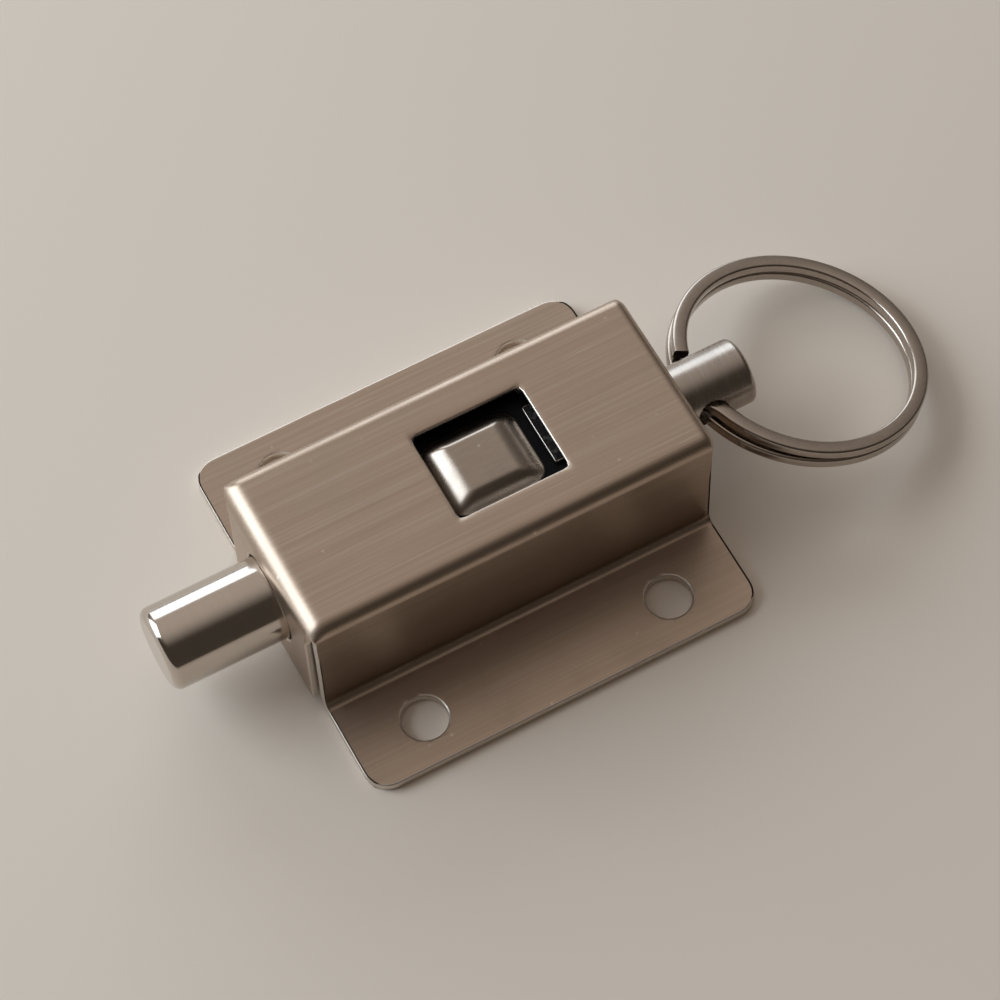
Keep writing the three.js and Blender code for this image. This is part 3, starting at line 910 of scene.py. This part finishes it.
def cut_gate(piece):
    """Cuts the gate's opening: straight sides, and a round foot that clears the bolt."""
    opening = [(gate_radius * math.cos(a), axis + gate_radius * math.sin(a))
               for a in np.linspace(-math.pi, 0, 33)]
    opening += [(gate_radius, plate_top - CATCH_SHEET), (-gate_radius, plate_top - CATCH_SHEET)]
    front = gate_front - 1
    skin = Skin()
    for k in range(len(opening)):
        (y0, z0), (y1, z1) = opening[k], opening[(k + 1) % len(opening)]
        skin.face((front, y0, z0), (front, y1, z1), (bend_end, y1, z1), (bend_end, y0, z0))
    skin.face(*[(front, y, z) for y, z in opening])
    skin.face(*[(bend_end, y, z) for y, z in opening])
    cutter = skin.object("gate_cutter", satin_catch)
    modifier(piece, "BOOLEAN", operation="DIFFERENCE", object=cutter, solver="EXACT")
    bake(piece)
    bpy.data.objects.remove(cutter)


print("gate opening is", round(2 * gate_radius, 1), "mm wide")

# %% Make the catch
GATE_STEPS = 6
plate_rear = local_x(catch_high.x)
gate_half = catch_high.y / MM


def make_catch():
    skin = Skin()
    xs = chain(plate_rear, (PAD_REAR + 0.1, 5), (PAD_FRONT - 0.05, 50), (bend_end, 1))
    ys = chain(-gate_half, (-PAD_HALF - 0.1, 3), (PAD_HALF + 0.1, 42), (gate_half, 3))
    rows = [[(x, y, plate_top + pad_height(x, y)) for y in ys] for x in xs]
    for angle in chain(0, (QUARTER_TURN, GATE_STEPS))[1:]:
        x = bend_end - GATE_BEND * math.sin(angle)
        rows.append([(x, y, plate_top - GATE_BEND * (1 - math.cos(angle))) for y in ys])
    for z in chain(plate_top - GATE_BEND, (catch_low.z / MM, 12))[1:]:
        rows.append([(gate_front, y, z) for y in ys])
    for row, following in zip(rows, rows[1:]):
        for k in range(len(ys) - 1):
            skin.face(row[k], row[k + 1], following[k + 1], following[k])
    piece = skin.object("catch", satin_catch)
    if piece.data.polygons[0].normal.z < 0:
        piece.data.flip_normals()
    modifier(piece, "SOLIDIFY", thickness=CATCH_SHEET * MM, offset=-1, use_even_offset=True)
    bake(piece)
    cut_gate(piece)
    return soften(piece, 0.1, 2, 45)


catch = make_catch()
report(catch)

# %% [markdown]
# ## The leaf
# A thin spring strip carries the catch. Its rear end is welded under the housing's top and its front end
# to the catch plate, so it has to bend when the pad is pressed. It is laid out as a grid with many lines
# along it, because a strip can only bend where it has points. Its faces are painted near black, as painted
# shade for a strip that lies in shade under the window's rear edge, and its edges are bright, partly bare
# metal and partly painted highlight.

# %% Lay out the leaf
LEAF_CORNER = 0.25
LEAF_LANES = 8
leaf_low, leaf_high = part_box("catch_leaf")


def make_leaf():
    front, rear = local_x(leaf_low.x), local_x(leaf_high.x)
    half = leaf_high.y / MM
    z = leaf_high.z / MM
    lanes = chain(-1, (1, LEAF_LANES))
    skin = Skin()
    xs = chain(front, (front + LEAF_CORNER, 4), (rear - LEAF_CORNER, 40), (rear, 4))

    def reach(x):
        over = max(front + LEAF_CORNER - x, x - rear + LEAF_CORNER, 0)
        return half - LEAF_CORNER + math.sqrt(max(LEAF_CORNER ** 2 - over ** 2, 0))

    for x0, x1 in zip(xs, xs[1:]):
        for a, b in zip(lanes, lanes[1:]):
            skin.face((x0, a * reach(x0), z), (x1, a * reach(x1), z), (x1, b * reach(x1), z),
                      (x0, b * reach(x0), z))
    piece = skin.object("leaf", shade_black_strip)
    if piece.data.polygons[0].normal.z < 0:
        piece.data.flip_normals()
    piece.data.materials.append(punched_edge_highlight)
    modifier(piece, "SOLIDIFY", thickness=leaf_high.z - leaf_low.z, offset=-1, material_offset_rim=1)
    bake(piece)
    return soften(piece, 0.1, 2, edge_material=1)


leaf = make_leaf()
report(leaf)

# %% [markdown]
# ## The bolt spring, with Geometry Nodes
# A compression spring follows a rule, so Geometry Nodes draw it: a line is cut into many points, each
# point is moved on to a helix by a formula, and a round wire is swept along it. The first and last turns
# lie closed, as on a real spring, so that its ends sit flat on the bolt and on the rear tab.

# %% A small kit for geometry trees
def geometry_tree(name, sizes):
    """A new tree with named number inputs, and its Group Input wires."""
    group = bpy.data.node_groups.new(name, "GeometryNodeTree")
    group.interface.new_socket("Geometry", in_out="INPUT", socket_type="NodeSocketGeometry")
    for size in sizes:
        group.interface.new_socket(size, in_out="INPUT", socket_type="NodeSocketFloat")
    group.interface.new_socket("Geometry", in_out="OUTPUT", socket_type="NodeSocketGeometry")
    t = Tree(group)
    source = group.nodes.new("NodeGroupInput")
    return t, {size: Wire(t, source.outputs[size]) for size in sizes}


def grow(name, tree, geometry, material, sizes):
    """Ends a tree, runs it on an empty mesh, and keeps the result as a plain mesh."""
    real = tree.node("GeometryNodeRealizeInstances", None, {"Geometry": geometry})
    dressed = tree.node("GeometryNodeSetMaterial", None, {"Geometry": real, "Material": material})
    tree.node("NodeGroupOutput", None, {"Geometry": dressed})
    piece = bpy.data.objects.new(name, bpy.data.meshes.new(name))
    bpy.context.scene.collection.objects.link(piece)
    nodes = piece.modifiers.new("grow", "NODES")
    nodes.node_group = tree.tree
    for socket in tree.tree.interface.items_tree:
        if socket.in_out == "INPUT" and socket.name in sizes:
            nodes[socket.identifier] = float(sizes[socket.name])
    bake(piece)
    piece.data.shade_smooth()
    piece.data.set_sharp_from_angle(angle=SMOOTH_ANGLE)
    return piece


def path_of_points(tree, points, x, y, z):
    """A line of points moved to a place given by three wires."""
    line = tree.node("GeometryNodeCurvePrimitiveLine", None, {"Start": (0, 0, 0), "End": (1, 0, 0)})
    cut = tree.node("GeometryNodeResampleCurve", None, {"Curve": line, "Count": points})
    place = tree.node("ShaderNodeCombineXYZ", None, {"X": x, "Y": y, "Z": z})
    return tree.node("GeometryNodeSetPosition", None, {"Geometry": cut, "Position": place})


print("geometry kit ready")

# %% Wind the spring
SPRING_TURNS = 10
SPRING_POINTS = 401
WIRE = 1.0 * MM
CLOSED_PITCH = 1.15 * WIRE
spring_low, spring_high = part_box("bolt_spring")


def wind_spring():
    sizes = {"Start": spring_low.x + WIRE / 2, "Length": spring_high.x - spring_low.x - WIRE,
             "Radius": (spring_high.y - spring_low.y) / 2 - WIRE / 2, "Wire": WIRE,
             "Turns": SPRING_TURNS, "Closed pitch": CLOSED_PITCH, "Height": axis * MM}
    t, size = geometry_tree("wound_spring", sizes)
    turn = t.node("GeometryNodeSplineParameter", output="Factor") * size["Turns"]
    closed = size["Closed pitch"]
    pitch = (size["Length"] - closed * 2) / (size["Turns"] - 2)
    x = (size["Start"] + turn.clamp(0, 1) * closed + (turn - 1).clamp(0, size["Turns"] - 2) * pitch
         + (turn - (size["Turns"] - 1)).clamp(0, 1) * closed)
    angle = turn * (2 * math.pi)
    y = angle.maths("COSINE", angle) * size["Radius"]
    z = angle.maths("SINE", angle) * size["Radius"] + size["Height"]
    path = path_of_points(t, SPRING_POINTS, x, y, z)
    round_wire = t.node("GeometryNodeCurvePrimitiveCircle", None,
                        {"Resolution": 14, "Radius": size["Wire"] / 2})
    wire = t.node("GeometryNodeCurveToMesh", None,
                  {"Curve": path, "Profile Curve": round_wire, "Fill Caps": True})
    return grow("spring", t, wire, spring_steel, sizes)


spring = wind_spring()
report(spring)

# %% [markdown]
# ## The split ring, with Geometry Nodes
# The split ring is flat wire wound twice. It starts low past the rod, runs once round, steps up through
# the rod's cross hole and runs round again on top, and where it comes out of the hole the two coils are
# held apart for a short way. The path is a circle with a lift along it, and the wire's section is a small
# rounded rectangle that is swept along the path.

# %% Wind the ring
RING_RADIUS = 14.4
RING_WIDTH = 1.8
RING_COIL = 1.3
RING_GAP = 0.1
RING_STEP = math.radians(40)
RING_NEAR_END = math.radians(15)
RING_FAR_END = math.radians(20)
RING_SPREAD = 0.25
RING_BELLY = 0.5
RING_REACH = math.radians(70)
RING_ROUND = 0.32
RING_POINTS = 481


def ease(share):
    """A wire's smooth rise from 0 to 1."""
    share = share.clamp(0, 1)
    return share * share * (3 - 2 * share)


def wind_ring():
    sizes = {"Radius": RING_RADIUS * MM, "Width": RING_WIDTH * MM, "Coil": RING_COIL * MM,
             "Coil gap": RING_GAP * MM, "Step": RING_STEP, "Near end": RING_NEAR_END,
             "Far end": RING_FAR_END, "Reach": RING_REACH, "Spread": RING_SPREAD * MM,
             "Belly": RING_BELLY * MM}
    t, size = geometry_tree("wound_ring", sizes)
    run = t.node("GeometryNodeSplineParameter", output="Factor")
    run = run * (4 * math.pi - size["Near end"] - size["Far end"]) + size["Near end"]
    past = run - 2 * math.pi
    rise = ease(past / size["Step"] + 0.5)
    before = ease(past / size["Reach"] + 1) * ease(past / size["Step"] * -2 + 1)
    after = ease(past / size["Step"] * 2) * ease(past / size["Reach"] * -1 + 1.3)
    start = ease(run / size["Reach"] * -1 + 1.3)
    stack = size["Coil"] + size["Coil gap"]
    lift = (rise - 0.5) * stack + after * size["Spread"] - start * size["Spread"] * 0.5
    angle = run + math.pi
    radius = size["Radius"] + before * size["Belly"] - after * size["Belly"] * 0.5
    x = angle.maths("COSINE", angle) * radius
    y = angle.maths("SINE", angle) * radius
    path = path_of_points(t, RING_POINTS, x, y, lift)
    up = t.node("GeometryNodeSetCurveNormal", {"mode": "Z_UP"}, {"Curve": path})
    plate = t.node("GeometryNodeCurvePrimitiveQuadrilateral", {"mode": "RECTANGLE"},
                   {"Width": size["Width"], "Height": size["Coil"]})
    flat_wire = t.node("GeometryNodeFilletCurve", {"mode": "POLY"},
                       {"Curve": plate, "Radius": RING_ROUND * MM, "Count": 4})
    wire = t.node("GeometryNodeCurveToMesh", None,
                  {"Curve": up, "Profile Curve": flat_wire, "Fill Caps": True})
    return grow("ring", t, wire, bright_ring, sizes)


ring = wind_ring()
report(ring)

# %% Hang the ring in the rod
# The ring hangs from the cross hole until it nearly lies on the surface. The rod has come to rest turned
# by a few degrees, and the ring is turned with it.
REST_TURN = math.radians(-4)
REST_CLEARANCE = 0.25


def hang_ring(piece):
    sag = RING_RADIUS - math.sqrt(RING_RADIUS ** 2 - rod_radius ** 2)
    drop = axis - RING_COIL - RING_GAP / 2 - REST_CLEARANCE
    droop = math.asin(drop / (2 * RING_RADIUS + RING_WIDTH / 2))
    turn = Matrix.Rotation(REST_TURN, 4, "X") @ Matrix.Rotation(droop, 4, "Y")
    reach = Matrix.Translation(((RING_RADIUS - sag / 2) * MM, 0, 0))
    piece.data.transform(Matrix.Translation(hole_place) @ turn @ reach)


def off_frame(piece, node):
    """How far a piece's box lies from its node's box on each side, in millimetres."""
    corners = np.array([vertex.co for vertex in piece.data.vertices])
    box = np.array([list(corner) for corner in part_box(node)])
    return np.round((np.array([corners.min(axis=0), corners.max(axis=0)]) - box) / MM, 2).tolist()


hang_ring(ring)
print("ring box off the frame by mm:", off_frame(ring, "split_ring"))

# %% [markdown]
# ## Bodies, joints and finishes
# Every piece rides on the body that it is fixed to, and stands for one node of the frame. The leaf is
# welded to the housing and to the catch, and rides on neither.

# %% Ride and replace
def mount(piece, body, node):
    """Stands for a node and rides on a body. A piece given no body, as the leaf welded to two, rides on
    neither.
    """
    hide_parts(node)
    if body:
        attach(piece, body)


mount(housing_shell, "housing", "housing")
mount(bolt_bar, "bolt", "bolt")
mount(rod, "bolt", "pull_rod")
mount(clip, "carriage", "stop_clip")
mount(spring, "housing", "bolt_spring")
mount(catch, "catch", "catch_button")
mount(leaf, None, "catch_leaf")
mount(ring, "ring", "split_ring")

spring_length = spring_high.x - spring_low.x
(spring_length - stroke * MM) / spring_length
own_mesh(spring)

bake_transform(leaf)

# %% [markdown]
# ## Floor and light
# The floor is plain and pale, and shows at a glance where the latch touches it. Polished steel shows what
# is round it more than it shows itself, so the lights are two large soft panels. The one on the far left
# draws the bright line over the front bend and the pad's front, and the one behind draws the stripe along
# the bolt. The room is dim and warm, and dark on the viewer's side, which gives round bars a dark band.

# %% Lay the floor
FLOOR_HALF = 3


def lay_floor():
    mesh = bmesh.new()
    bmesh.ops.create_grid(mesh, x_segments=1, y_segments=1, size=FLOOR_HALF)
    data = bpy.data.meshes.new("floor")
    mesh.to_mesh(data)
    mesh.free()
    floor = bpy.data.objects.new("floor", data)
    bpy.context.scene.collection.objects.link(floor)
    material = bpy.data.materials.new("pale_floor")
    material.use_nodes = True
    shader = material.node_tree.nodes["Principled BSDF"]
    shader.inputs["Base Color"].default_value = (0.90, 0.80, 0.70, 1)
    shader.inputs["Roughness"].default_value = 0.7
    data.materials.append(material)


lay_floor()
print("floor laid at z = 0")

# %% Hang the lights
PANEL_DISTANCE = 0.8
DAYLIGHT = (0.80, 0.91, 1.0)


def panel(name, direction, size, power):
    """A soft rectangular light that faces the latch."""
    light = bpy.data.lights.new(name, "AREA")
    light.shape = "RECTANGLE"
    light.size, light.size_y = size
    light.energy = power
    light.color = DAYLIGHT
    lamp = bpy.data.objects.new(name, light)
    way = Vector(direction).normalized()
    lamp.location = way * PANEL_DISTANCE
    lamp.rotation_euler = way.to_track_quat("Z", "Y").to_euler()
    bpy.context.scene.collection.objects.link(lamp)


panel("window_panel", (-0.73, 0.51, 0.45), (0.58, 0.68), 5.0)
panel("far_panel", (0.21, 0.90, 0.34), (0.70, 0.46), 2.0)

# %% Colour the room
DIM = (0.06, 0.05, 0.04, 1)
WARM = (0.52, 0.46, 0.41, 1)
LIGHT_SIDE = (0.0, 0.55, 0.80)
world = bpy.data.worlds.new("room")
bpy.context.scene.world = world
world.use_nodes = True
world.node_tree.nodes.clear()
sky = Tree(world.node_tree)
look = sky.node("ShaderNodeTexCoord", output="Generated")
toward_lights = sky.node("ShaderNodeVectorMath", {"operation": "DOT_PRODUCT"},
                         {0: look, 1: LIGHT_SIDE}, output=1)
shade = sky.node("ShaderNodeMix", {"data_type": "RGBA"},
                 {0: toward_lights.smooth(0.35, 0.98), 6: DIM, 7: WARM}, output=2)
backdrop = sky.node("ShaderNodeBackground", None, {"Color": shade, "Strength": 1.0})
sky.node("ShaderNodeOutputWorld", None, {"Surface": backdrop})
print("room colours:", DIM[:3], "to", WARM[:3])
